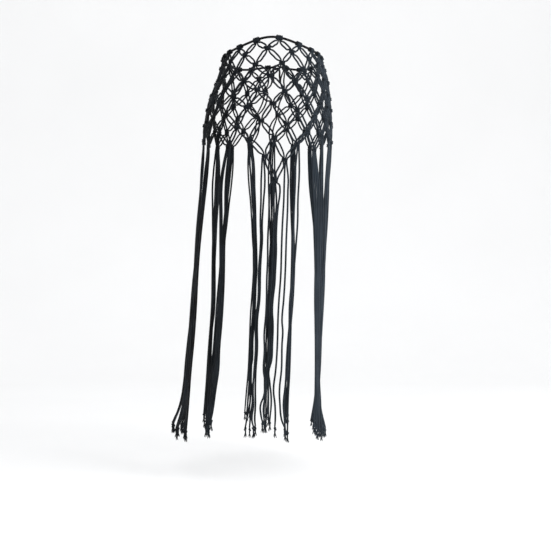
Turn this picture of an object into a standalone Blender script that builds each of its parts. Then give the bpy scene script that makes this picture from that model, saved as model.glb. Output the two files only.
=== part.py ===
"""A macrame hip sash, worn: a net of paired cords with square knots, hung from a holding cord.

The net narrows to a point below the near hip and ends in long cords with knotted, frayed tips.
The shape is the hollow form of a general pair of hips. Metres, +Z up, origin at the centre of
the hip ring, where the hips hold the sash up. +X is the front, -Y is the side with the point.
"""

import math
import random

import bmesh
import bpy
import numpy as np
from mathutils import Vector

# Driving dimensions
CORD = 0.0034
HOLDING_CORD = 0.0044
SEAM_GAP = 0.0003
HALF_COLUMNS = 40
LAST_COLUMN = 19
LAST_FULL_ROW = 6

KNOT_WIDTH = 0.0116
KNOT_HEIGHT = 0.0078
KNOT_THICKNESS = 0.0078
HEAD_HEIGHT = 0.0056
ROOT_RISE = 0.7
CREST_ACROSS = 0.55
CREST_DOWN = 0.5
PAIR_WIDTH = 0.0104
WEB_THICKNESS = 0.0014
SELVEDGE_BOW = 0.35

FRONT_DROOP = 0.0155
DROOP_GROWTH = 0.037
DROOP_ONSET = 0.55

# The form that the net hangs on, level by level from the hip ring down
SECTIONS = (
    # depth, half_length, half_width, centre_x
    (0.000, 0.0945, 0.1500, -0.0030),
    (0.038, 0.1060, 0.1580, -0.0025),
    (0.080, 0.1175, 0.1650, -0.0085),
    (0.130, 0.1238, 0.1710, -0.0118),
    (0.170, 0.1235, 0.1750, -0.0140),
    (0.225, 0.1255, 0.1770, -0.0160),
    (0.285, 0.1280, 0.1780, -0.0190),
)

# The rows of knots: the first holds the heads on the holding cord, the last is the point
ROWS = (
    # depth, shift, spread
    (0.0055, -0.46, 0.15),
    (0.0205, -0.46, 0.20),
    (0.0470, -0.28, 0.19),
    (0.0725, 0.01, 0.13),
    (0.0965, 0.21, 0.11),
    (0.1230, 0.38, 0.04),
    (0.1545, 0.60, 0.02),
    (0.1835, 0.66, -0.04),
    (0.2190, 0.75, -0.24),
    (0.2585, 0.82, 0.00),
)
SPREAD_COLUMNS = 8
MIDDLE_SECTION = 3

# The knots of the point and of the two small points beside it
POINT_KNOTS = ((0, 7), (-2, 7), (2, 7), (-4, 7), (4, 7), (-1, 8), (1, 8), (0, 9))

# The tassels that show below the point, by the knot that they hang from
POINT_TASSELS = (
    # column, row, side, middle_x, low_x, tip_x, tip_depth
    (-5, 6, "left", -0.1115, -0.1190, -0.1225, 0.722),
    (-4, 7, "both", -0.0940, -0.1125, -0.1180, 0.716),
    (-2, 7, "left", -0.0345, -0.0445, -0.0470, 0.716),
    (-1, 8, "left", -0.0262, -0.0335, -0.0350, 0.712),
    (0, 9, "both", -0.0060, -0.0140, -0.0145, 0.704),
    (1, 8, "right", 0.0145, 0.0070, 0.0100, 0.712),
    (2, 7, "right", 0.0320, 0.0216, 0.0225, 0.730),
    (4, 7, "both", 0.0787, 0.0780, 0.0776, 0.738),
    (5, 6, "right", 0.0860, 0.0852, 0.0860, 0.742),
)

# The tassels of the other sides, from the back of the hips round the far hip to the front
SIDE_TASSELS = (
    # column, middle_x, low_x, tip_x
    (-7, -0.1431, -0.1594, -0.1649),
    (-9, -0.1499, -0.1698, -0.1832),
    (-11, -0.1546, -0.1759, -0.1943),
    (-13, -0.1542, -0.1725, -0.1817),
    (-15, -0.1220, -0.1345, -0.1385),
    (-17, -0.1085, -0.1297, -0.1339),
    (-19, -0.0400, -0.0530, -0.0560),
    (19, -0.0076, -0.0171, -0.0180),
    (17, 0.0393, 0.0258, 0.0248),
    (15, 0.0876, 0.0873, 0.0799),
    (13, 0.0894, 0.0865, 0.0815),
    (11, 0.0930, 0.0859, 0.0857),
    (9, 0.0960, 0.0856, 0.0906),
    (7, 0.0935, 0.0833, 0.0933),
)
TIP_DEPTH = 0.746
TIP_SCATTER = 0.007
TIP_FLARE_OUT = 1.06

ROOT_CORD = 0.0025
ROOT_GAP = 0.0004
ROOT_HEIGHT = 0.0045
ROOT_THICKNESS = 0.0036
HANGING_SPACING = 0.0048
TIP_SPACING = 0.0068
PARTED_LEVEL = 0.09
MIDDLE_LEVEL = 0.45
SPREADING_LEVEL = 0.80
LOW_LEVEL = 0.90
STRAND_LEVELS = (0.05, 0.25, MIDDLE_LEVEL, 0.70, LOW_LEVEL)
STOPPER_WIDTH = 0.0058
STOPPER_HEIGHT = 0.0070
STOPPER_THICKNESS = 0.0046
NECK_WIDTH = 0.0031
NECK_THICKNESS = 0.0027
TIP_LENGTH = 0.0110
TIP_WIDTH = 0.0058

TIE_WIDTH = 0.0150
TIE_HEIGHT = 0.0120
TIE_THICKNESS = 0.0110
TIE_SHOULDER = 0.0030
TIE_END = 0.0340
TIE_SPLAY = 0.0010
TIE_CLEAR = 0.9

HOLDING_CORD_POINTS = 48


# The form of the hips


def hip_angles():
    """Angle round the hips of each half column, even along the section half way down the net."""
    half_length, half_width = SECTIONS[MIDDLE_SECTION][1:3]
    angles = np.linspace(-1.5 * math.pi, 1.5 * math.pi, 1441)
    speed = np.hypot(half_length * np.cos(angles), half_width * np.sin(angles))
    arc = np.concatenate([[0.0], np.cumsum((speed[1:] + speed[:-1]) / 2 * np.diff(angles))])
    arc -= np.interp(0.0, angles, arc)
    round_the_hips = np.interp(math.pi, angles, arc) - np.interp(-math.pi, angles, arc)
    return arc / round_the_hips * HALF_COLUMNS, angles


COLUMN_SCALE, COLUMN_ANGLES = hip_angles()


def on_hips(column, depth):
    """The point of the form on a column line, at a depth below the hip ring at the side."""
    angle = float(np.interp(column, COLUMN_SCALE, COLUMN_ANGLES))
    levels = [row[0] for row in SECTIONS]
    half_length, half_width, centre_x = (
        float(np.interp(depth, levels, [row[k] for row in SECTIONS])) for k in (1, 2, 3)
    )
    early = 1.0 - math.exp(-((math.sin(angle) / DROOP_ONSET) ** 2))
    droop = (FRONT_DROOP + DROOP_GROWTH * depth) * early
    return Vector((
        centre_x + half_length * math.sin(angle),
        -half_width * math.cos(angle),
        -depth - droop,
    ))


def frame_on_hips(column, depth):
    """Place, sideways direction, downward direction and outward direction at a point."""
    place = on_hips(column, depth)
    sideways = (on_hips(column + 0.1, depth) - on_hips(column - 0.1, depth)).normalized()
    downward = (on_hips(column, depth + 0.002) - on_hips(column, depth - 0.002)).normalized()
    outward = sideways.cross(-downward).normalized()
    downward = outward.cross(-sideways).normalized()
    return place, sideways, downward, outward


def level(direction):
    """The direction without its rise."""
    return Vector((direction.x, direction.y, 0.0)).normalized()


def knot_place(column, row):
    """Where a knot lies: its column line, after the row's shift and spread, and its depth."""
    depth, shift, spread = ROWS[row]
    easing = max(0.0, 1.0 - (column / SPREAD_COLUMNS) ** 2)
    return column * (1.0 + spread * easing) + shift, depth


def knots():
    """Every knot of the net, as column and row."""
    full = [
        (column, row)
        for row in range(LAST_FULL_ROW + 1)
        for column in range(-LAST_COLUMN, LAST_COLUMN + 1)
        if (column + row) % 2
    ]
    return full + list(POINT_KNOTS)


# The net

KNOTS = knots()
KNOT_WEIGHT = 1.0
CORD_WEIGHT = CORD / KNOT_THICKNESS
WEB_WEIGHT = WEB_THICKNESS / KNOT_THICKNESS


class NetSheet:
    """The middle surface of one half of the net, with each point's share of the thickness."""

    def __init__(self):
        self.bm = bmesh.new()
        self.weights = []
        self.corners = {}

    def point(self, place, weight):
        vertex = self.bm.verts.new(place)
        self.weights.append(weight)
        return vertex

    def knot(self, column, row):
        """A knot: six corners, where the pairs of cords leave it, round a raised middle."""
        place, sideways, downward, outward = frame_on_hips(*knot_place(column, row))
        half_width = KNOT_WIDTH / 2
        half_height = (HEAD_HEIGHT if row == 0 else KNOT_HEIGHT) / 2
        rise = half_height * ROOT_RISE

        def corner(right, down, weight):
            return self.point(place + sideways * right + downward * down, weight)

        left_up = corner(-half_width, -rise, CORD_WEIGHT)
        top = corner(0, -half_height, CORD_WEIGHT)
        right_up = corner(half_width, -rise, CORD_WEIGHT)
        right_down = corner(half_width, rise, CORD_WEIGHT)
        bottom = corner(0, half_height, CORD_WEIGHT)
        left_down = corner(-half_width, rise, CORD_WEIGHT)
        middle = [
            corner(right * CREST_ACROSS * half_width, down * CREST_DOWN * half_height, KNOT_WEIGHT)
            for right, down in ((-1, -1), (1, -1), (1, 1), (-1, 1))
        ]
        for ring in (
            (left_up, middle[0], top),
            (top, middle[0], middle[1]),
            (top, middle[1], right_up),
            (right_up, middle[1], middle[2], right_down),
            (right_down, middle[2], bottom),
            (bottom, middle[2], middle[3]),
            (bottom, middle[3], left_down),
            (left_down, middle[3], middle[0], left_up),
            (middle[0], middle[3], middle[2], middle[1]),
        ):
            self.bm.faces.new(ring)
        self.corners[column, row] = (left_up, top, right_up, right_down, bottom, left_down)

    def pair_middle(self, upper, lower, seam_shift=0.0, bow=0.0):
        """The three points across a pair of cords half way between two knots."""
        start_column, start_depth = knot_place(*upper)
        end_column, end_depth = knot_place(*lower)
        column = (start_column + end_column) / 2 + bow
        place, sideways, downward, outward = frame_on_hips(column, (start_depth + end_depth) / 2)
        run = (on_hips(end_column, end_depth) - on_hips(start_column, start_depth)).normalized()
        to_right = outward.cross(run).normalized()
        place = place + sideways * seam_shift
        half = PAIR_WIDTH / 2
        return (
            self.point(place - to_right * half, CORD_WEIGHT),
            self.point(place, WEB_WEIGHT),
            self.point(place + to_right * half, CORD_WEIGHT),
        )

    def lower_half(self, root, middle):
        """From a knot's lower root down to the middle of the pair."""
        self.bm.faces.new((root[0], middle[0], middle[1]))
        self.bm.faces.new((root[0], middle[1], root[1]))
        self.bm.faces.new((root[1], middle[1], middle[2]))

    def upper_half(self, middle, root):
        """From the middle of the pair down to the next knot's upper root."""
        self.bm.faces.new((middle[0], root[0], middle[1]))
        self.bm.faces.new((root[0], root[1], middle[1]))
        self.bm.faces.new((root[1], middle[2], middle[1]))

    def lower_root(self, knot, to_left):
        left_up, top, right_up, right_down, bottom, left_down = self.corners[knot]
        return (left_down, bottom) if to_left else (bottom, right_down)

    def upper_root(self, knot, to_left):
        left_up, top, right_up, right_down, bottom, left_down = self.corners[knot]
        return (left_up, top) if to_left else (top, right_up)

    def pair(self, upper, lower):
        """A pair of cords from an upper knot to a lower one, or the half of it in this node."""
        mine = [knot for knot in (upper, lower) if knot in self.corners]
        if not mine:
            return
        to_left = lower[0] < upper[0]
        seam = 0.0 if len(mine) == 2 else math.copysign(SEAM_GAP / 2, mine[0][0] - 0.5)
        middle = self.pair_middle(upper, lower, seam_shift=seam)
        if upper in mine:
            self.lower_half(self.lower_root(upper, to_left), middle)
        if lower in mine:
            self.upper_half(middle, self.upper_root(lower, not to_left))

    def selvedge(self, upper, lower):
        """The pair that runs straight down the end of the net, past the rows between."""
        to_left = upper[0] < 0
        middle = self.pair_middle(upper, lower, bow=math.copysign(SELVEDGE_BOW, upper[0]))
        self.lower_half(self.lower_root(upper, to_left), middle)
        self.upper_half(middle, self.upper_root(lower, to_left))


def build_net(name, columns, collection, material):
    """One half of the net: its middle surface, thickened to cords and knots."""
    sheet = NetSheet()
    for column, row in KNOTS:
        if column in columns:
            sheet.knot(column, row)
    for column, row in KNOTS:
        for side in (-1, 1):
            below = (column + side, row + 1)
            if below in KNOTS:
                sheet.pair((column, row), below)
        if abs(column) == LAST_COLUMN and column in columns and row + 2 <= LAST_FULL_ROW:
            sheet.selvedge((column, row), (column, row + 2))
    bmesh.ops.recalc_face_normals(sheet.bm, faces=sheet.bm.faces[:])
    mesh = bpy.data.meshes.new(name)
    sheet.bm.to_mesh(mesh)
    sheet.bm.free()
    net = bpy.data.objects.new(name, mesh)
    collection.objects.link(net)
    mesh.materials.append(material)
    thickness = net.vertex_groups.new(name="thickness")
    for index, weight in enumerate(sheet.weights):
        thickness.add([index], weight, "REPLACE")
    wall = net.modifiers.new("wall", "SOLIDIFY")
    wall.thickness = KNOT_THICKNESS
    wall.offset = 0.0
    wall.vertex_group = thickness.name
    return net


# The tassels: cords that hang from the lowest knots, fused at their roots


def ring_at(face, place, sideways, outward, width, thickness):
    """Moves a face with four corners to a new place and size, each corner on its own side."""
    centre = face.calc_center_median()
    for vertex in face.verts:
        reach = vertex.co - centre
        right = math.copysign(width / 2, reach.dot(sideways))
        out = math.copysign(thickness / 2, reach.dot(outward))
        vertex.co = place + sideways * right + outward * out


def grow(bm, face, place, sideways, outward, width, thickness):
    """Extrudes a face to a new ring and gives the face at its end."""
    face = bmesh.ops.extrude_discrete_faces(bm, faces=[face])["faces"][0]
    ring_at(face, place, sideways, outward, width, thickness)
    return face


def build_tassel(name, top, sideways, outward, root_sizes, runs, collection, material):
    """A backing with cords: a row of faces is deepened, and every other one grows into a cord.

    root_sizes is the width of a cord, the gap beside it, the height and the thickness of the
    backing. Each run is the list of places, widths and thicknesses of one cord, from the root.
    """
    cord_width, gap, height, thickness = root_sizes
    steps = 2 * len(runs) - 1
    bm = bmesh.new()
    bmesh.ops.create_grid(bm, x_segments=steps, y_segments=1, size=0.5)
    width = len(runs) * cord_width + (len(runs) - 1) * gap
    edges = [-width / 2]
    for step in range(steps):
        edges.append(edges[-1] + (cord_width if step % 2 == 0 else gap))
    for vertex in bm.verts:
        column = round((vertex.co.x + 0.5) * steps)
        out = math.copysign(thickness / 2, vertex.co.y)
        vertex.co = top + sideways * edges[column] + outward * out - Vector((0, 0, height))
    bottom = bm.faces[:]
    lid = bmesh.ops.extrude_face_region(bm, geom=bottom)
    for item in lid["geom"]:
        if isinstance(item, bmesh.types.BMVert):
            item.co.z += height
    roots = [
        face for face in bm.faces
        if all(abs(vertex.co.z - (top.z - height)) < 1e-6 for vertex in face.verts)
    ]
    roots.sort(key=lambda face: face.calc_center_median().dot(sideways))
    for face, run in zip(roots[::2], runs):
        for place, cord, depth in run:
            face = grow(bm, face, place, sideways, outward, cord, depth)
    bmesh.ops.recalc_face_normals(bm, faces=bm.faces[:])
    mesh = bpy.data.meshes.new(name)
    bm.to_mesh(mesh)
    bm.free()
    mesh.materials.append(material)
    tassel = bpy.data.objects.new(name, mesh)
    collection.objects.link(tassel)
    return tassel


def cord_run(start, middle_x, low_x, end, across):
    """One hanging cord: it fills out below its root, hangs, and ends in a knot and a frayed tip.

    It passes through middle_x part of the way down and low_x above its tip. across is its place
    among its neighbours, in spacings, and it parts from them soon below the root.
    """
    turns = (0.0, MIDDLE_LEVEL, LOW_LEVEL, 1.0)
    way = (start.x, middle_x, low_x, end.x)
    shares = (0.0, PARTED_LEVEL, SPREADING_LEVEL, 1.0)
    spacings = (ROOT_CORD + ROOT_GAP, HANGING_SPACING, HANGING_SPACING, TIP_SPACING)
    run = []

    def hanging(share):
        """The cord's place when it has hung down by this share of its length."""
        place = start.lerp(end, share)
        place.x = float(np.interp(share, turns, way))
        return place + across * float(np.interp(share, shares, spacings))

    for share in STRAND_LEVELS:
        run.append((hanging(share), CORD, CORD))
    below_stopper = TIP_LENGTH / (start.z - end.z)
    stopper = hanging(1.0 - below_stopper)
    top = stopper + Vector((0, 0, STOPPER_HEIGHT))
    run.append((top, CORD, CORD))
    run.append(((top + stopper) / 2, STOPPER_WIDTH, STOPPER_THICKNESS))
    run.append((stopper, NECK_WIDTH, NECK_THICKNESS))
    run.append((hanging(1.0), TIP_WIDTH, CORD))
    return run


def tassel_from_knot(knot, side, xs, tip_depth, scatter, collection, material):
    """The tassel below one knot: two cords from one side of it, or all four.

    xs are its places in x part of the way down, above the tips and at the tips.
    """
    middle_x, low_x, tip_x = xs
    column, row = knot
    place, sideways, downward, outward = frame_on_hips(*knot_place(column, row))
    count = 4 if side == "both" else 2
    width = count * ROOT_CORD + (count - 1) * ROOT_GAP
    lean = {"left": -1, "both": 0, "right": 1}[side] * (width + ROOT_GAP) / 2
    flat_out, flat_side = level(outward), level(sideways)
    top = place + flat_side * lean
    top.z = place.z - KNOT_HEIGHT / 2 - SEAM_GAP
    start = top - Vector((0, 0, ROOT_HEIGHT))
    runs = []
    for index in range(count):
        across = flat_side * (index - (count - 1) / 2)
        depth = tip_depth + scatter.uniform(-TIP_SCATTER, TIP_SCATTER)
        end = Vector((tip_x, place.y * TIP_FLARE_OUT, -depth))
        runs.append(cord_run(start, middle_x, low_x, end, across))
    name = f"tassel_{row}_{'m' if column < 0 else 'p'}{abs(column):02d}"
    return build_tassel(
        name, top, flat_side, flat_out,
        (ROOT_CORD, ROOT_GAP, ROOT_HEIGHT, ROOT_THICKNESS), runs, collection, material,
    )


def build_tassels(collection, material):
    """All the tassels, those of the point first."""
    scatter = random.Random(7)
    for column, row, side, *xs, tip_depth in POINT_TASSELS:
        tassel_from_knot((column, row), side, xs, tip_depth, scatter, collection, material)
    for column, *xs in SIDE_TASSELS:
        tassel_from_knot(
            (column, LAST_FULL_ROW), "both", xs, TIP_DEPTH, scatter, collection, material
        )


# The holding cord and its tie


def tie_frame():
    """Place of the tie on the holding cord, with its level sideways and outward directions."""
    place, sideways, downward, outward = frame_on_hips(HALF_COLUMNS / 2 + ROWS[0][1], 0.0)
    return place, level(sideways), level(outward)


def build_holding_cord(collection, material):
    """The cord that the net hangs from, round the hips from one side of the tie to the other."""
    place, sideways, outward = tie_frame()
    middle = HALF_COLUMNS / 2 + ROWS[0][1]
    columns = np.linspace(middle - HALF_COLUMNS + TIE_CLEAR, middle - TIE_CLEAR, HOLDING_CORD_POINTS)
    seat = TIE_WIDTH / 2 + SEAM_GAP
    points = [on_hips(column, 0.0) for column in columns]
    points = (
        [place + sideways * seat, place + sideways * (seat + CORD)]
        + points
        + [place - sideways * (seat + CORD), place - sideways * seat]
    )
    curve = bpy.data.curves.new("holding_cord", "CURVE")
    curve.dimensions = "3D"
    curve.bevel_depth = HOLDING_CORD / 2
    curve.bevel_resolution = 2
    curve.use_fill_caps = True
    spline = curve.splines.new("POLY")
    spline.points.add(len(points) - 1)
    for point, place in zip(spline.points, points):
        point.co = (*place, 1.0)
    curve.materials.append(material)
    cord = bpy.data.objects.new("holding_cord", curve)
    collection.objects.link(cord)
    return cord


def build_tie(collection, material):
    """The knot of the holding cord at the far hip, with its two short ends."""
    place, sideways, outward = tie_frame()
    top = place + Vector((0, 0, TIE_HEIGHT / 2))
    cord_width = (TIE_WIDTH - ROOT_GAP) / 2
    runs = []
    for side in (-1, 1):
        start = top + sideways * side * (cord_width + ROOT_GAP) / 2
        start.z = top.z - TIE_HEIGHT
        shoulder = start - Vector((0, 0, TIE_SHOULDER))
        end = start + sideways * side * TIE_SPLAY - Vector((0, 0, TIE_END))
        runs.append([
            (shoulder, HOLDING_CORD, HOLDING_CORD),
            (end, HOLDING_CORD, HOLDING_CORD),
        ])
    return build_tassel(
        "tie_knot", top, sideways, outward,
        (cord_width, ROOT_GAP, TIE_HEIGHT, TIE_THICKNESS), runs, collection, material,
    )


# Materials and the whole sash


def cord_material(name, colour, roughness):
    """Smooth twisted cotton cord, dyed nearly black."""
    material = bpy.data.materials.new(name)
    material.use_nodes = True
    shader = material.node_tree.nodes["Principled BSDF"]
    shader.inputs["Base Color"].default_value = (*colour, 1.0)
    shader.inputs["Roughness"].default_value = roughness
    shader.inputs["Metallic"].default_value = 0.0
    return material


def build_sash():
    for old in list(bpy.data.objects):
        bpy.data.objects.remove(old, do_unlink=True)
    sash = bpy.data.collections.new("macrame_hip_sash")
    bpy.context.scene.collection.children.link(sash)
    netting = cord_material("net_cord", (0.012, 0.014, 0.017), 0.6)
    hanging = cord_material("tassel_cord", (0.014, 0.017, 0.022), 0.55)
    holding = cord_material("waist_cord", (0.010, 0.011, 0.013), 0.6)
    build_net("net_back", range(-LAST_COLUMN, 1), sash, netting)
    build_net("net_front", range(1, LAST_COLUMN + 1), sash, netting)
    build_holding_cord(sash, holding)
    build_tie(sash, holding)
    build_tassels(sash, hanging)


build_sash()
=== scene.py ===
import itertools
import math
import random

import bpy
import numpy as np
from mathutils import Matrix, Vector


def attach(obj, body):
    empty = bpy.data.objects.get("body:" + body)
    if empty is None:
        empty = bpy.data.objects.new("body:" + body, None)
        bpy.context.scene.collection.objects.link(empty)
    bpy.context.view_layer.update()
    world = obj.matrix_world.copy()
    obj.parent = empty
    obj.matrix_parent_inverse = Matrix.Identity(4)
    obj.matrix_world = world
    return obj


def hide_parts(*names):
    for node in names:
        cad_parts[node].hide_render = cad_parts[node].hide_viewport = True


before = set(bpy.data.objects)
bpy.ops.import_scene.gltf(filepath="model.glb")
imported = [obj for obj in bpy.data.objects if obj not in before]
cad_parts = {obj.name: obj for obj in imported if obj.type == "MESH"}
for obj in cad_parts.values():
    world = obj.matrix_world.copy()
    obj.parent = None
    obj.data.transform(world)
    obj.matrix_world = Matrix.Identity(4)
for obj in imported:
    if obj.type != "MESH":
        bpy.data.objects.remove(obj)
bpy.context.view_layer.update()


# The view: a level camera at the side of the hips, two metres off, at mid-thigh height, with a
# short telephoto lens.

side_lens = bpy.data.cameras.new("side_view")
side_lens.lens = 74.1
side_camera = bpy.data.objects.new("side_view", side_lens)
side_camera.location = (0.0029, -2.2, -0.4314)
side_camera.rotation_euler = (math.radians(90), 0, 0)
bpy.context.scene.collection.objects.link(side_camera)
bpy.context.scene.camera = side_camera
bpy.context.scene.view_settings.view_transform = "Standard"


# The holding cord is a stout cotton cord, laid from three plies and dyed nearly black. It runs
# round the hips, dips a little at the front and the back, and is tied at the far hip.

HOLDING_CORD = 0.0044
HALF_COLUMNS = 40
HIP_LEVELS = (
    # Depth, half the length from front to back, half the width, middle in x
    (0.000, 0.0945, 0.1500, -0.0030),
    (0.038, 0.1060, 0.1580, -0.0025),
    (0.080, 0.1175, 0.1650, -0.0085),
    (0.130, 0.1238, 0.1710, -0.0118),
    (0.170, 0.1235, 0.1750, -0.0140),
    (0.225, 0.1255, 0.1770, -0.0160),
    (0.285, 0.1280, 0.1780, -0.0190),
)
SPACING_LEVEL = 3

# How far the net dips at the front and the back, what its depth adds, and how wide a dip is
DIP, DIP_WITH_DEPTH, DIP_ENDS = 0.0155, 0.037, 0.55


def columns_round_the_hips():
    """Column numbers and angles round the hips, evenly spaced half way down the net."""
    half_length, half_width = HIP_LEVELS[SPACING_LEVEL][1:3]
    angles = np.linspace(-1.5 * math.pi, 1.5 * math.pi, 1441)
    speed = np.hypot(half_length * np.cos(angles), half_width * np.sin(angles))
    arc = np.concatenate([[0.0], np.cumsum((speed[1:] + speed[:-1]) / 2 * np.diff(angles))])
    arc -= np.interp(0.0, angles, arc)
    once_round = np.interp(math.pi, angles, arc) - np.interp(-math.pi, angles, arc)
    return arc / once_round * HALF_COLUMNS, angles


COLUMNS, ANGLES = columns_round_the_hips()


def on_hips(column, depth):
    """The place on the hips of a column, at a depth below the holding cord at the side."""
    angle = float(np.interp(column, COLUMNS, ANGLES))
    depths = [level[0] for level in HIP_LEVELS]
    half_length, half_width, middle = (
        float(np.interp(depth, depths, [level[k] for level in HIP_LEVELS])) for k in (1, 2, 3)
    )
    to_the_ends = 1.0 - math.exp(-((math.sin(angle) / DIP_ENDS) ** 2))
    dip = (DIP + DIP_WITH_DEPTH * depth) * to_the_ends
    return Vector((
        middle + half_length * math.sin(angle),
        -half_width * math.cos(angle),
        -depth - dip,
    ))


def facing_out(column, depth):
    """A place on the hips, with the ways to the right, down and out of the cloth there."""
    place = on_hips(column, depth)
    right = (on_hips(column + 0.1, depth) - on_hips(column - 0.1, depth)).normalized()
    down = (on_hips(column, depth + 0.002) - on_hips(column, depth - 0.002)).normalized()
    out = right.cross(-down).normalized()
    down = out.cross(-right).normalized()
    return place, right, down, out


def lay_cord(name, places, radius, thickness=None, steps=3, sides=2, dye_and_lit_side=0.5):
    """A cord through the places, as a mesh. Its UV map gives metres along it and turns round it."""
    line = bpy.data.curves.new(name, "CURVE")
    line.dimensions = "3D"
    line.bevel_depth = radius
    line.bevel_resolution = sides
    line.resolution_u = steps
    line.use_fill_caps = True
    spline = line.splines.new("BEZIER")
    spline.bezier_points.add(len(places) - 1)
    for index, (point, place) in enumerate(zip(spline.bezier_points, places)):
        point.co = place
        point.radius = thickness[index] if thickness else 1.0
        point.handle_left_type = point.handle_right_type = "AUTO"
    length = spline.calc_length()
    cord = bpy.data.objects.new(name, line)
    bpy.context.scene.collection.objects.link(cord)
    bpy.ops.object.select_all(action="DESELECT")
    cord.select_set(True)
    bpy.context.view_layer.objects.active = cord
    bpy.ops.object.convert(target="MESH")
    wrap = cord.data.uv_layers[0].data
    turns = np.empty(len(wrap) * 2, np.float32)
    wrap.foreach_get("uv", turns)
    turns[0::2] *= length
    wrap.foreach_set("uv", turns)
    # Each cord carries one colour value: a random spread of its dye, plus painted light and shade
    # by where it hangs on the hips.
    tint = cord.data.attributes.new("dye_and_lit_side", "FLOAT", "POINT")
    tint.data.foreach_set("value", np.full(len(cord.data.vertices), dye_and_lit_side, np.float32))
    return cord


def tie_together(name, cords, material, nodes):
    """Joins cords to one piece, with closed ends and smooth sides, in place of these solids."""
    bpy.ops.object.select_all(action="DESELECT")
    for cord in cords:
        cord.select_set(True)
    bpy.context.view_layer.objects.active = cords[0]
    bpy.ops.object.join()
    piece = bpy.context.view_layer.objects.active
    piece.name = piece.data.name = name
    bpy.ops.object.mode_set(mode="EDIT")
    bpy.ops.mesh.select_all(action="SELECT")
    bpy.ops.mesh.remove_doubles(threshold=0.000002)
    bpy.ops.mesh.normals_make_consistent(inside=False)
    bpy.ops.object.mode_set(mode="OBJECT")
    bpy.ops.object.shade_smooth()
    piece.data.materials.clear()
    piece.data.materials.append(material)
    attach(piece, "root")
    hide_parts(*nodes)
    return piece


def dyed_cotton(name, deep, worn_and_sheen, sheen, plies, lay):
    """Dyed cotton cord: plies that turn round it once in the lay's length, fibres, worn dye,
    painted shade in the ply grooves and a painted sheen colour.
    """
    material = bpy.data.materials.new(name)
    material.use_nodes = True
    nodes, links = material.node_tree.nodes, material.node_tree.links
    shader = nodes["Principled BSDF"]

    def calculate(operation, first, second=None):
        node = nodes.new("ShaderNodeMath")
        node.operation = operation
        for socket, value in zip(node.inputs, (first, second)):
            if isinstance(value, (int, float)):
                socket.default_value = value
            elif value is not None:
                links.new(value, socket)
        return node.outputs[0]

    uv = nodes.new("ShaderNodeUVMap")
    uv.uv_map = "UVMap"
    along_and_round = nodes.new("ShaderNodeSeparateXYZ")
    links.new(uv.outputs["UV"], along_and_round.inputs[0])
    along, turn = along_and_round.outputs[0], along_and_round.outputs[1]
    plies_along = calculate("DIVIDE", along, lay / plies)
    ply_turn = calculate("ADD", plies_along, calculate("MULTIPLY", turn, plies))
    ply = calculate("ABSOLUTE", calculate("SINE", calculate("MULTIPLY", ply_turn, math.pi)))
    yarns_along = calculate("DIVIDE", along, lay / 14)
    yarn_turn = calculate("SUBTRACT", calculate("MULTIPLY", turn, 9.0), yarns_along)
    yarn = calculate("ABSOLUTE", calculate("SINE", calculate("MULTIPLY", yarn_turn, math.pi)))
    place = nodes.new("ShaderNodeTexCoord")
    fuzz = nodes.new("ShaderNodeTexNoise")
    fuzz.inputs["Scale"].default_value = 1400.0
    fuzz.inputs["Detail"].default_value = 3.0
    links.new(place.outputs["Object"], fuzz.inputs["Vector"])
    patches = nodes.new("ShaderNodeTexNoise")
    patches.inputs["Scale"].default_value = 22.0
    patches.inputs["Detail"].default_value = 3.0
    links.new(place.outputs["Object"], patches.inputs["Vector"])

    relief = calculate("ADD", ply, calculate("MULTIPLY", yarn, 0.22))
    relief = calculate("ADD", relief, calculate("MULTIPLY", fuzz.outputs["Fac"], 0.35))
    bump = nodes.new("ShaderNodeBump")
    bump.inputs["Strength"].default_value = 0.60
    bump.inputs["Distance"].default_value = 0.0005
    links.new(relief, bump.inputs["Height"])
    links.new(bump.outputs["Normal"], shader.inputs["Normal"])

    # Each cord's value moves its colour towards the lighter one: a random spread of its dye, plus
    # painted light, high at the lit front of the hips and low in the shaded back.
    dye_and_lit_side = nodes.new("ShaderNodeAttribute")
    dye_and_lit_side.attribute_name = "dye_and_lit_side"
    # The colour is darker in the grooves between the plies, which is painted shade; the noise
    # patches over it are worn dye.
    groove_shade = calculate("ADD", calculate("MULTIPLY", ply, 0.6), 0.3)
    patches_and_groove_shade = calculate("MULTIPLY", patches.outputs["Fac"], groove_shade)
    cord_dye_and_light = calculate("MULTIPLY", dye_and_lit_side.outputs["Fac"], 0.45)
    tone_and_painted_light = calculate("ADD", calculate("MULTIPLY", patches_and_groove_shade, 0.75), cord_dye_and_light)
    colour = nodes.new("ShaderNodeValToRGB")
    colour.color_ramp.elements[0].position = 0.15
    colour.color_ramp.elements[0].color = (*deep, 1.0)
    colour.color_ramp.elements[1].position = 0.95
    colour.color_ramp.elements[1].color = (*worn_and_sheen, 1.0)
    links.new(tone_and_painted_light, colour.inputs["Fac"])
    links.new(colour.outputs["Color"], shader.inputs["Base Color"])
    roughness = nodes.new("ShaderNodeMapRange")
    roughness.inputs["To Min"].default_value = 0.62
    roughness.inputs["To Max"].default_value = 0.46
    links.new(ply, roughness.inputs["Value"])
    links.new(roughness.outputs["Result"], shader.inputs["Roughness"])
    shader.inputs["Specular IOR Level"].default_value = 0.07
    shader.inputs["Sheen Weight"].default_value = sheen
    shader.inputs["Sheen Roughness"].default_value = 0.4
    shader.inputs["Sheen Tint"].default_value = (0.55, 0.66, 0.78, 1.0)
    return material


waist_cotton = dyed_cotton(
    "waist_cotton", (0.002, 0.002, 0.002), (0.012, 0.012, 0.013), 0.015, plies=3, lay=0.012
)

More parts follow.
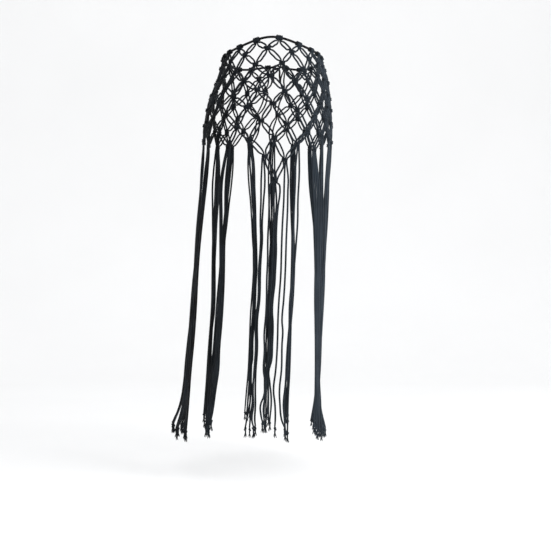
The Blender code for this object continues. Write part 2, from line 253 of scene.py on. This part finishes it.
# The ring is open at the tie. Its ends reach into the knot, and bend towards it at its mouth.
TIE_COLUMN = HALF_COLUMNS / 2 - 0.46
TIE_HALF_COLUMNS = 0.9
TIE_REACH, TIE_MOUTH = 0.0062, 0.011
tie_place, tie_right, _, tie_out = facing_out(TIE_COLUMN, 0.0)
tie_right = Vector((tie_right.x, tie_right.y, 0.0)).normalized()
tie_out = Vector((tie_out.x, tie_out.y, 0.0)).normalized()
round_columns = np.linspace(
    TIE_COLUMN - HALF_COLUMNS + TIE_HALF_COLUMNS, TIE_COLUMN - TIE_HALF_COLUMNS, 64
)
holding_line = [on_hips(column, 0.0) for column in round_columns]
holding_line = (
    [tie_place + tie_right * TIE_REACH, tie_place + tie_right * TIE_MOUTH]
    + holding_line
    + [tie_place - tie_right * TIE_MOUTH, tie_place - tie_right * TIE_REACH]
)
tie_together(
    "holding_rope", [lay_cord("holding_rope", holding_line, HOLDING_CORD / 2, steps=4, sides=3)],
    waist_cotton, ["holding_cord"],
)


# The net is knotted from forty doubled cords of smooth twisted cotton, two at each mounting. Each
# doubled cord is looped on the holding cord in a lark's head. Square knots of four cords then
# join neighbours in turn, and a cord is a filler in one knot and ties the next.

NET_CORD = 0.0034
LAST_COLUMN = 19
LAST_FULL_ROW = 6
POINT_REACH = 8
ROWS = (
    # Depth, shift of the columns, spread of the columns near the point
    (0.0055, -0.46, 0.15),
    (0.0205, -0.46, 0.20),
    (0.0470, -0.28, 0.19),
    (0.0725, 0.01, 0.13),
    (0.0965, 0.21, 0.11),
    (0.1230, 0.38, 0.04),
    (0.1545, 0.60, 0.02),
    (0.1835, 0.66, -0.04),
    (0.2190, 0.75, -0.24),
    (0.2585, 0.82, 0.00),
)
POINT_KNOTS = ((0, 7), (-2, 7), (2, 7), (-4, 7), (4, 7), (-1, 8), (1, 8), (0, 9))
KNOTS = {
    (column, row)
    for row in range(LAST_FULL_ROW + 1)
    for column in range(-LAST_COLUMN, LAST_COLUMN + 1)
    if (column + row) % 2
} | set(POINT_KNOTS)

# The way of each of the four cords through a square knot: right, down and out, in millimetres
SQUARE_KNOT = (
    (
        (-4.6, -3.5, 0.3), (-3.5, -2.4, 1.6), (0.0, -1.5, 2.7), (3.2, -1.1, 1.9), (4.5, 0.0, 0.2),
        (3.2, 1.1, 1.9), (0.0, 1.5, 2.7), (-3.5, 2.4, 1.6), (-4.6, 3.5, 0.3),
    ),
    ((-1.7, -3.9, 0.0), (-1.4, 0.0, 0.0), (-1.7, 3.9, 0.0)),
    ((1.7, -3.9, 0.0), (1.4, 0.0, 0.0), (1.7, 3.9, 0.0)),
    (
        (4.6, -3.5, 0.3), (4.9, -2.3, 0.3), (3.2, -1.8, -1.9), (0.0, -1.4, -2.7),
        (-3.4, -1.1, -1.9), (-4.8, 0.0, 1.2), (-3.4, 1.1, -1.9), (0.0, 1.4, -2.7),
        (3.2, 1.8, -1.9), (4.9, 2.3, 0.3), (4.6, 3.5, 0.3),
    ),
)
DRAWN_TIGHT, DRAWN_IN = 0.80, 0.88

# Half of a lark's head, from the middle of its bar round the holding cord and down
LARKS_HEAD = (
    (0.0, -2.4, 3.9), (1.9, -2.4, 3.1), (2.6, -2.3, 0.2), (2.4, -4.4, -3.0), (2.0, -7.4, -2.8),
    (1.7, -9.0, -0.1), (1.45, -7.5, 2.7), (1.35, -4.9, 3.1), (1.35, -2.2, 1.2), (1.45, 1.0, 0.1),
)
HEAD_MIDDLE = 2.9

# How far the cords that go straight down at the far hip bow out, in columns
EDGE_BOW = 0.35


def knot_place(column, row):
    """The column line and depth of a knot, after its row's shift and spread."""
    depth, shift, spread = ROWS[row]
    near_the_point = max(0.0, 1.0 - (column / POINT_REACH) ** 2)
    return column * (1.0 + spread * near_the_point) + shift, depth


def in_knot(knot, way):
    """Places in a knot. Each knot lies a little askew, as hand-tied ones do."""
    column, row = knot
    place, right, down, out = facing_out(*knot_place(column, row))
    hand = random.Random(1000 * row + column)
    lean = Matrix.Rotation(math.radians(hand.uniform(-7, 7) if row else 0.0), 3, out)
    size = hand.uniform(0.96, 1.04) if row else 1.0
    return [
        place + lean @ (right * x + down * z + out * y) * (size / 1000) for x, z, y in way
    ]


def knot_below(knot, position):
    """The next knot down of the cord at a position, 0 to 3, and its position in that knot."""
    column, row = knot
    side = -1 if position < 2 else 1
    if (column + side, row + 1) in KNOTS:
        return (column + side, row + 1), (position + 2) % 4
    if abs(column) == LAST_COLUMN and side * column > 0 and row + 2 <= LAST_FULL_ROW:
        return (column, row + 2), position
    return None


def between_knots(upper, lower, position, hand):
    """A cord between two knots: it bows away from the other cord of its pair."""
    start, end = knot_place(*upper), knot_place(*lower)
    bow = EDGE_BOW * np.sign(upper[0]) if upper[0] == lower[0] else 0.0
    run = (on_hips(*end) - on_hips(*start)).normalized()
    apart = hand.uniform(0.0030, 0.0036) + (0.0004 if lower[0] > upper[0] else 0.0)
    apart *= -1 if position % 2 == 0 else 1
    places = []
    for share, width, lift in ((0.26, 0.94, 0.5), (0.5, 1.06, 1.0), (0.74, 0.94, 0.5)):
        column = start[0] + (end[0] - start[0]) * share + bow * 4 * share * (1 - share)
        place, _, _, out = facing_out(column, start[1] + (end[1] - start[1]) * share)
        to_right = out.cross(run).normalized()
        slack = out * hand.uniform(-0.0005, 0.0005) * lift
        places.append(place + to_right * apart * width + slack)
    return places


def painted_light_and_dye(x, hand):
    """Painted light and shade on a cord's colour: lighter at the front of the hips, where the light
    falls, near black at the back, with a small random spread of its dye.
    """
    return float(np.interp(x, (-0.13, 0.0, 0.10), (0.0, 0.30, 0.95))) + hand.uniform(-0.12, 0.12)


def net_strand(head, position):
    """One strand from its lark's head to below its last knot: places and thicknesses."""
    hand = random.Random(77 * head + position)
    side = -1 if position % 2 == 0 else 1
    middle = -HEAD_MIDDLE if position < 2 else HEAD_MIDDLE
    head_way = [(middle + side * x, z, y) for x, z, y in LARKS_HEAD]
    places = in_knot((head, 0), head_way)
    thickness = [DRAWN_TIGHT] * len(places)
    knot = (head, 0)
    below = knot_below(knot, position)
    while below:
        places += between_knots(knot, below[0], position, hand)
        thickness += [0.97, 1.0, 0.97]
        knot, position = below
        way = SQUARE_KNOT[position]
        places += in_knot(knot, way)
        thickness += [DRAWN_IN] + [DRAWN_TIGHT] * (len(way) - 2) + [DRAWN_IN]
        below = knot_below(knot, position)
    hanging.setdefault(knot, {})[position] = places[-1]
    return places, thickness


def doubled_cord(head, first):
    """Both strands of one doubled cord, joined in the bar of its lark's head."""
    left, left_thickness = net_strand(head, first)
    right, right_thickness = net_strand(head, first + 1)
    middle = (left[-1] + right[-1]) / 2
    # Its colour value is painted light and shade by where the cord hangs, with a random spread of
    # its dye.
    return lay_cord(
        "net_cord", left[::-1] + right[1:], NET_CORD / 2,
        left_thickness[::-1] + right_thickness[1:], steps=4,
        dye_and_lit_side=painted_light_and_dye(middle.x, random.Random(head * 9 + first)),
    )


hanging = {}
# The lighter colour, bluish slate, is worn dye and a painted sheen of the cool light at the front
# of the hips.
net_cotton = dyed_cotton(
    "net_cotton", (0.002, 0.002, 0.002), (0.036, 0.047, 0.060), 0.015, plies=3, lay=0.0085
)
for half, heads in (("back", range(-LAST_COLUMN, 0, 2)), ("front", range(1, LAST_COLUMN + 1, 2))):
    cords = [doubled_cord(head, first) for head in heads for first in (0, 2)]
    tie_together(
        f"net_{half}_cords", cords, net_cotton, [f"net_{half}"]
    )


# The tassels are the same cords, left to hang from the lowest knots. They drift, lie together in
# pairs and cross, and each ends in an overhand knot with its plies frayed out below it.

TASSEL_CORD = 0.0034
STOPPER_RISE = 0.0040
STOPPER_SIZE = (0.00075, 0.00050, -0.00021)
FIBRES = 11
FIBRE_TURN = 2.4
# The lighter colour, bluish slate, is worn dye and a painted sheen of the cool light at the front
# of the hips.
tassel_cotton = dyed_cotton(
    "tassel_cotton", (0.002, 0.002, 0.002), (0.040, 0.053, 0.068), 0.015, plies=3, lay=0.0085
)

# Where each cord below the point lies, from the left: depth and x in millimetres
POINT_CORDS = {
    (-5, 6): (
        ((260, -112), (313, -112), (373, -111.5), (421, -111), (494, -112), (530, -116),
         (566, -118), (602, -118.5), (640, -122), (666, -123.5), (690, -123), (706, -124)),
        ((260, -105), (313, -105.5), (373, -108.5), (421, -108), (494, -109), (530, -113),
         (566, -115), (602, -115), (640, -114.5), (666, -115), (690, -118), (708, -121)),
    ),
    (-4, 7): (
        ((262, -96.5), (332, -97), (368, -97), (422, -97), (457, -98), (511, -100.5),
         (565, -103.5), (601, -105.5), (640, -112), (660, -115.5), (684, -121)),
        ((262, -93.5), (332, -94), (368, -94.5), (422, -94.5), (457, -95), (511, -98),
         (565, -101), (601, -103.5), (640, -110), (676, -116), (699, -120)),
        ((262, -87.5), (332, -89), (368, -91.5), (422, -92.5), (457, -93), (511, -96),
         (565, -101), (601, -102.5), (640, -107.5), (676, -112.5), (705, -117)),
        ((262, -84.5), (332, -86), (368, -89), (422, -90), (457, -91), (511, -94),
         (565, -98.5), (601, -100), (640, -105.5), (676, -110.5), (692, -113.5)),
    ),
    (-2, 7): (
        ((244, -42), (293, -37), (315, -35.4), (350, -34.8), (386, -33.6), (422, -33.5),
         (448, -35), (475, -35.8), (511, -38), (546, -40.5), (582, -41.5), (600, -44.5),
         (635, -42.5), (653, -42), (680, -47), (700, -50.5)),
        ((244, -36.6), (293, -33.6), (350, -32.2), (386, -31), (422, -30.7), (448, -32.2),
         (475, -33), (511, -35), (546, -37.6), (582, -38.5), (600, -41.4), (635, -39.4),
         (653, -38), (680, -41.6), (702, -43.4)),
    ),
    (-1, 8): (
        ((262, -22.6), (297, -23), (333, -24.1), (368, -23.5), (395, -25), (422, -27),
         (475, -28), (511, -32.4), (564, -32.6), (599, -35), (635, -37), (662, -36.4),
         (688, -39), (700, -36.2)),
        ((262, -16), (306, -19), (342, -21), (368, -20.6), (395, -22.6), (422, -24),
         (475, -25.4), (511, -29.4), (564, -29.4), (599, -32), (635, -33), (662, -32.8),
         (688, -34), (698, -33)),
    ),
    (0, 9): (
        ((269, -6.6), (277, -7.8), (288, -8.3), (324, -8.8), (368, -10.8), (404, -11.1),
         (439, -12.6), (475, -13.1), (502, -14.3), (537, -17.2), (564, -16.7), (599, -18.4),
         (621, -15.8), (644, -17.5), (662, -23.8), (679, -22.9), (690, -20.5)),
        ((285, -0.4), (324, 0.2), (368, -1.6), (386, -1.4), (422, -3), (448, -4.4), (470, -7),
         (493, -8.6), (519, -7.4), (555, -8.6), (582, -10.4), (603, -15), (621, -13.4),
         (644, -15), (668, -18.6), (691, -17)),
        ((285, 4.2), (310, 4.4), (333, 2.4), (368, 1.3), (386, 1.6), (422, 0), (448, -1.4),
         (470, -4), (493, -5.6), (519, -4.4), (555, -5.6), (582, -7.2), (603, -12.2),
         (621, -10.6), (662, -10.6), (685, -13.6), (694, -14.6)),
        ((269, 9.4), (277, 10.9), (290, 10.2), (306, 7.8), (333, 5.4), (368, 4.2), (386, 4.4),
         (422, 2.8), (448, 1.4), (470, -1.2), (493, -2.8), (519, -1.5), (555, -2.6), (582, -4),
         (603, -9.2), (621, -7.6), (653, -4.6), (689, -7.2)),
    ),
    (1, 8): (
        ((260, 18.7), (297, 17.7), (342, 15.2), (386, 13.6), (422, 12.7), (439, 11.8),
         (475, 9.1), (511, 7.3), (546, 6.5), (582, 4.7), (603, 2.9), (635, -0.7), (662, 2),
         (688, 2.5), (700, 1.7)),
        ((260, 25.8), (279, 25.1), (315, 24.4), (359, 22.5), (386, 21.6), (422, 20.5),
         (475, 17.5), (511, 14.5), (532, 15.9), (555, 14.5), (599, 13.6), (635, 10),
         (662, 10.9), (688, 13.6), (702, 18.8)),
    ),
    (2, 7): (
        ((244, 38.5), (297, 37.1), (333, 35.5), (377, 34.1), (422, 33), (448, 31.2),
         (484, 28.2), (520, 27.6), (555, 26.6), (582, 25.4), (600, 24), (635, 19.8),
         (662, 17.1), (689, 18.9), (708, 20.6)),
        ((244, 45.8), (297, 43.3), (333, 42.8), (377, 39.8), (422, 36.2), (448, 34.2),
         (484, 31.2), (520, 30.6), (555, 29.8), (582, 29), (609, 28), (653, 25.5), (689, 24.8),
         (712, 24.4)),
    ),
    (4, 7): (
        ((262, 72), (332, 74.7), (404, 75.6), (475, 74.7), (529, 75.6), (628, 75.6), (664, 74.7),
         (700, 73)),
        ((262, 75.5), (332, 77.6), (404, 78.6), (475, 77.2), (529, 77.8), (583, 77.6),
         (628, 77.6), (664, 77.6), (706, 76)),
        ((262, 79), (332, 80.6), (404, 81), (475, 79.5), (529, 79.4), (583, 79), (628, 78.6),
         (664, 80), (712, 79)),
        ((262, 82), (332, 83.4), (404, 83.6), (475, 81.8), (529, 81.4), (583, 80.8),
         (628, 80.4), (664, 82), (708, 82.5)),
    ),
    (5, 6): (
        ((260, 87), (332, 87), (404, 85.5), (475, 83.6), (529, 83), (583, 82.6), (628, 82),
         (664, 83.5), (712, 84)),
        ((260, 90), (332, 90), (404, 88), (475, 86), (529, 85), (583, 84.4), (628, 84),
         (664, 86), (718, 87.5)),
    ),
}

# Where the other tassels hang, by the column of their knot, and how far their tips flare out
SIDE_WAYS = {
    # X half way down, x near the tips, x of the tips, flare of the tips
    -7: (-0.1431, -0.1594, -0.1649, 0.002),
    -9: (-0.1499, -0.1698, -0.1832, 0.002),
    -11: (-0.1546, -0.1759, -0.1943, 0.003),
    -13: (-0.1542, -0.1725, -0.1817, 0.002),
    -15: (-0.1220, -0.1345, -0.1385, 0.001),
    -17: (-0.1085, -0.1297, -0.1339, 0.001),
    -19: (-0.0400, -0.0530, -0.0560, 0.001),
    19: (-0.0076, -0.0171, -0.0180, 0.001),
    17: (0.0393, 0.0258, 0.0248, 0.001),
    15: (0.0876, 0.0873, 0.0799, 0.001),
    13: (0.0894, 0.0865, 0.0815, 0.002),
    11: (0.0930, 0.0859, 0.0857, 0.002),
    9: (0.0960, 0.0856, 0.0906, 0.002),
    7: (0.0935, 0.0833, 0.0933, 0.002),
}
WAY_SHARES = (0.0, 0.45, 0.90, 1.0)
TIPS_LEVEL = 0.718
SWING_OUT = 0.06
KNOT_SPACING = 0.0056
OWN_SWAY, IN_OUT_SWAY = 0.0007, 0.0011
EASING_ROUNDS = 8

# The four cords of a tassel lie in line, two pairs side by side. From this column to the far side
# they lie two by two instead, which keeps them behind the near ones.
TWO_BY_TWO_FROM = 15
PAIRS_APART, PAIR_IN_LINE, PAIR_TWO_BY_TWO = 0.0040, 0.0017, 0.0018


def overhand_stopper():
    """An overhand knot drawn up tight round the origin, with the frayed end below it."""
    way = []
    for turn in np.linspace(-2.02, 2.02, 17):
        way.append(Vector((
            (turn**3 - 3 * turn) * STOPPER_SIZE[0],
            (turn**4 - 4 * turn**2 + 1.4) * STOPPER_SIZE[1],
            (turn**5 - 10 * turn) * STOPPER_SIZE[2],
        )))
    way = [Vector((0, 0, STOPPER_RISE + 0.0012)), Vector((0, 0, STOPPER_RISE))] + way[1:-1]
    way += [Vector((0, 0, -STOPPER_RISE)), Vector((0, 0, -STOPPER_RISE - 0.0022))]
    parts = [lay_cord("stopper", way, TASSEL_CORD / 2 * 0.82, steps=2)]
    hand = random.Random(5)
    for fibre in range(FIBRES):
        angle = fibre * FIBRE_TURN
        reach = 0.0008 + 0.0022 * math.sqrt((fibre + 0.5) / FIBRES)
        length = hand.uniform(0.0075, 0.0105)
        curl = hand.uniform(-0.7, 0.7)
        places = []
        for share in (0.0, 0.35, 0.7, 1.0):
            away = 0.0004 + reach * share**1.3
            places.append(Vector((
                away * math.cos(angle + curl * share),
                away * math.sin(angle + curl * share),
                -STOPPER_RISE - 0.0012 - length * share,
            )))
        parts.append(lay_cord("fibre", places, 0.0005, (1.0, 0.9, 0.75, 0.35), steps=1, sides=0))
    return parts


def placed_copy(part, matrix, dye_and_lit_side):
    """A copy of a part with its own mesh, put in place, and with its cord's colour value of dye and
    painted light.
    """
    copy = part.copy()
    copy.data = part.data.copy()
    copy.data.transform(matrix)
    copy.data.attributes["dye_and_lit_side"].data.foreach_set(
        "value", np.full(len(copy.data.vertices), dye_and_lit_side, np.float32)
    )
    bpy.context.scene.collection.objects.link(copy)
    return copy


stopper_parts = overhand_stopper()


def hang_cord(name, places, hand):
    """A hanging cord with its stopper knot and frayed end."""
    # The cord's colour value: painted light and shade by where it hangs, with a random spread of
    # its dye.
    dye_and_lit_side = painted_light_and_dye(places[len(places) // 2].x, hand)
    turn = Matrix.Rotation(hand.uniform(0, 2 * math.pi), 4, "Z")
    size = Matrix.Scale(hand.uniform(0.9, 1.12), 4)
    foot = Matrix.Translation(places[-1] - Vector((0, 0, STOPPER_RISE)))
    thickness = [0.84, 0.95] + [1.0] * (len(places) - 3) + [0.82]
    cord = lay_cord(name, places, TASSEL_CORD / 2, thickness, steps=4, dye_and_lit_side=dye_and_lit_side)
    return [cord] + [placed_copy(part, foot @ turn @ size, dye_and_lit_side) for part in stopper_parts]


def node_of(knot):
    """The solid of the tassel that hangs from a knot."""
    column, row = knot
    return f"tassel_{row}_{'m' if column < 0 else 'p'}{abs(column):02d}"


def eased_apart(strands):
    """The cords of a tassel, moved sideways where they would run into each other."""
    for level in range(2, len(strands[0])):
        for _ in range(EASING_ROUNDS):
            for first, second in itertools.combinations(strands, 2):
                gap = (second[level] - first[level]) * Vector((1.0, 1.0, 0.0))
                push = gap.normalized() * (max(0.0, TASSEL_CORD - gap.length) / 2)
                first[level] = first[level] - push
                second[level] = second[level] + push
    return strands


def point_strands(knot, starts):
    """The cords of a tassel below the point, each on its own way down, one behind another."""
    base = on_hips(*knot_place(*knot))
    ways = POINT_CORDS[knot]
    strands = []
    for index, (start, way) in enumerate(zip(starts, ways)):
        layer = (index - (len(ways) - 1) / 2) * TASSEL_CORD
        places = [start + Vector((0, 0, 0.0012)), start - Vector((0, 0, 0.0008))]
        for depth, x in way:
            share = (depth / 1000 + base.z) / (0.72 + base.z)
            settled = min(1.0, share * 4)
            y = base.y * (1 + SWING_OUT * share) + layer * settled
            places.append(Vector((x / 1000, y, -depth / 1000)))
        strands.append(places)
    return strands


def side_strands(knot, starts, hand):
    """The cords of a tassel at the other sides: they hang in pairs, drift and wander a little."""
    column = knot[0]
    base, right, _, out = facing_out(*knot_place(*knot))
    right = Vector((right.x, right.y, 0.0)).normalized()
    out = Vector((out.x, out.y, 0.0)).normalized()
    *way, flare = SIDE_WAYS[column]
    tips = TIPS_LEVEL + hand.uniform(-0.005, 0.005)
    pair_bend = [hand.uniform(0, 2 * math.pi) for pair in range(2)]
    pair_sway = [hand.uniform(0.0005, 0.0014) for pair in range(2)]
    in_line = len(starts) == 4 and abs(column) < TWO_BY_TWO_FROM
    strands = []
    for index, start in enumerate(starts):
        pair = index // 2 if len(starts) == 4 else 0
        side = -1 if index % 2 == 0 else 1
        own_bend = hand.uniform(0, 2 * math.pi)
        tip_depth = tips + hand.uniform(-0.007, 0.007)
        kick = flare * hand.uniform(0.1, 1.1)
        middle = (index - (len(starts) - 1) / 2) * KNOT_SPACING
        if in_line:
            closed, layer = (pair * 2 - 1) * PAIRS_APART + side * PAIR_IN_LINE, 0.0
        else:
            closed, layer = side * PAIR_TWO_BY_TWO, (pair * 2 - 1) * PAIR_TWO_BY_TWO
        places = [start + Vector((0, 0, 0.0012)), start - Vector((0, 0, 0.006))]
        for share in np.linspace(0.06, 1.0, 14):
            nearer = float(np.interp(share, (0.0, 0.4, 0.7, 1.0), (0.0, 1.0, 1.0, 0.55)))
            across = middle * (1 - nearer) + closed * nearer
            across *= min(1.0, 0.45 + share * 5)
            wave = pair_sway[pair] * math.sin(9.0 * share + pair_bend[pair])
            wave += OWN_SWAY * math.sin(21.0 * share + own_bend) * (0.3 + share)
            depth = -start.z + (tip_depth + start.z) * share
            x = float(np.interp(share, WAY_SHARES, (base.x, *way)))
            hub = Vector((x, base.y * (1 + SWING_OUT * share), 0.0))
            in_out = IN_OUT_SWAY * math.sin(13.0 * share + own_bend * 1.7)
            in_out += kick * max(0.0, share * 10 - 9) ** 2 + layer * nearer
            places.append(hub + right * (across + wave) + out * in_out - Vector((0, 0, depth)))
        strands.append(places)
    return eased_apart(strands)


tassels = {"back": [], "front": []}
for knot in sorted(hanging):
    starts = [hanging[knot][position] for position in sorted(hanging[knot])]
    hand = random.Random(31 * knot[0] + 7 * knot[1])
    if knot in POINT_CORDS:
        ways_down = point_strands(knot, starts)
    else:
        ways_down = side_strands(knot, starts, hand)
    cords = []
    for places in ways_down:
        cords += hang_cord("tassel_strand", places, hand)
    node = node_of(knot)
    piece = tie_together(f"{node}_cords", cords, tassel_cotton, [node])
    tassels["back" if knot[0] <= 0 else "front"].append(piece)
for part in stopper_parts:
    bpy.data.objects.remove(part, do_unlink=True)


# The tie is the reef knot of the holding cord's two ends at the far hip: two bights drawn
# through each other, with a short end of each left to hang and whipped against fraying.

REEF_BIGHT = (
    # Along, up and out from the knot's middle, in millimetres
    (-10.0, 0.0, 0.0), (-6.5, 1.2, -0.8), (-3.4, 2.2, -2.4), (0.0, 3.6, -0.4), (3.4, 3.6, 2.6),
    (5.6, 1.6, 3.4), (5.9, 0.0, 3.5), (5.6, -1.6, 3.4), (3.4, -3.6, 2.6), (0.0, -3.6, -0.4),
    (-3.4, -2.2, -2.4), (-5.6, -4.4, -1.4), (-6.4, -9.0, -0.4), (-6.2, -17.0, 0.3),
    (-6.9, -26.0, 0.2), (-6.5, -33.0, 0.0),
)


def tie_end(side):
    """One end of the holding cord through the knot. The second goes a little less far out."""
    turn = 1 if side < 0 else -1
    places = []
    for along, up, out in REEF_BIGHT:
        places.append(
            tie_place + tie_right * (along * turn / 1000)
            + tie_out * (out / 1000 if side < 0 else (out * 0.9 - 0.3) / 1000)
            + Vector((0, 0, (up if side < 0 else up * 0.86 + 0.2) / 1000))
        )
    thickness = [1.0] + [0.84] * 11 + [0.94, 1.0, 1.0, 1.0]
    return lay_cord("tie_end", places, HOLDING_CORD / 2 * 0.95, thickness, steps=4, sides=3)


def whipping(side):
    """The binding round the tip of an end: a few turns of thin thread."""
    turns = []
    for step in range(33):
        angle = step * math.pi / 4
        rise = -31.5 + step * 0.13
        along = (-6.6 + 0.25 * math.sin(step * 0.1)) / 1000 * (1 if side < 0 else -1)
        centre = tie_place + tie_right * along + Vector((0, 0, rise / 1000))
        turns.append(
            centre + (tie_right * math.cos(angle) + tie_out * math.sin(angle)) * 0.0022
        )
    return lay_cord("whipping", turns, 0.00045, steps=1, sides=1)


tie_together(
    "waist_tie", [tie_end(-1), tie_end(1), whipping(-1), whipping(1)],
    waist_cotton, ["tie_knot"],
)


# The floor and the wall behind it are one sheet of matt paper with a wide bend, lit by two
# large soft lamps and an even pale sky.

bpy.ops.object.select_all(action="DESELECT")
bpy.ops.mesh.primitive_plane_add(size=12.0, location=(0, -3.0, -0.80))
floor = bpy.context.active_object
floor.name = "studio_floor"
bpy.ops.object.mode_set(mode="EDIT")
bpy.ops.mesh.select_all(action="DESELECT")
bpy.ops.object.mode_set(mode="OBJECT")
for edge in floor.data.edges:
    edge.select = all(floor.data.vertices[v].co.y > 2.9 for v in edge.vertices)
bpy.ops.object.mode_set(mode="EDIT")
bpy.ops.mesh.select_mode(type="EDGE")
bpy.ops.mesh.extrude_region_move(TRANSFORM_OT_translate={"value": (0, 0, 4.0)})
bpy.ops.object.mode_set(mode="OBJECT")
bend = floor.modifiers.new("bend", "BEVEL")
bend.width = 1.2
bend.segments = 16
bend.limit_method = "ANGLE"
bpy.ops.object.modifier_apply(modifier="bend")
bpy.ops.object.transform_apply(location=True, rotation=True, scale=True)
bpy.ops.object.shade_smooth()
paper = bpy.data.materials.new("matt_paper")
paper.use_nodes = True
paper_shader = paper.node_tree.nodes["Principled BSDF"]
paper_shader.inputs["Roughness"].default_value = 0.9
paper_grain = paper.node_tree.nodes.new("ShaderNodeTexNoise")
paper_grain.inputs["Scale"].default_value = 2.5
paper_tone = paper.node_tree.nodes.new("ShaderNodeValToRGB")
paper_tone.color_ramp.elements[0].color = (0.88, 0.878, 0.872, 1.0)
paper_tone.color_ramp.elements[1].color = (0.92, 0.918, 0.912, 1.0)
paper_place = paper.node_tree.nodes.new("ShaderNodeTexCoord")
paper.node_tree.links.new(paper_place.outputs["Object"], paper_grain.inputs["Vector"])
paper.node_tree.links.new(paper_grain.outputs["Fac"], paper_tone.inputs["Fac"])
paper.node_tree.links.new(paper_tone.outputs["Color"], paper_shader.inputs["Base Color"])
floor.data.materials.append(paper)


def soft_lamp(name, place, size, power, target=(0.0, 0.0, -0.35)):
    """A large square lamp, turned to its target."""
    lamp = bpy.data.lights.new(name, "AREA")
    lamp.size = size
    lamp.energy = power
    holder = bpy.data.objects.new(name, lamp)
    holder.location = place
    aim = Vector(target) - Vector(place)
    holder.rotation_euler = aim.to_track_quat("-Z", "Y").to_euler()
    bpy.context.scene.collection.objects.link(holder)


soft_lamp("key_lamp", (1.25, -0.95, 0.15), 0.9, 19.0)
soft_lamp("top_lamp", (0.0, 0.6, 3.2), 2.6, 26.0, target=(0.0, 0.9, -0.8))
sky = bpy.data.worlds.new("pale_sky")
sky.use_nodes = True
sky.node_tree.nodes["Background"].inputs["Color"].default_value = (0.97, 0.98, 1.0, 1.0)
sky.node_tree.nodes["Background"].inputs["Strength"].default_value = 0.90
bpy.context.scene.world = sky
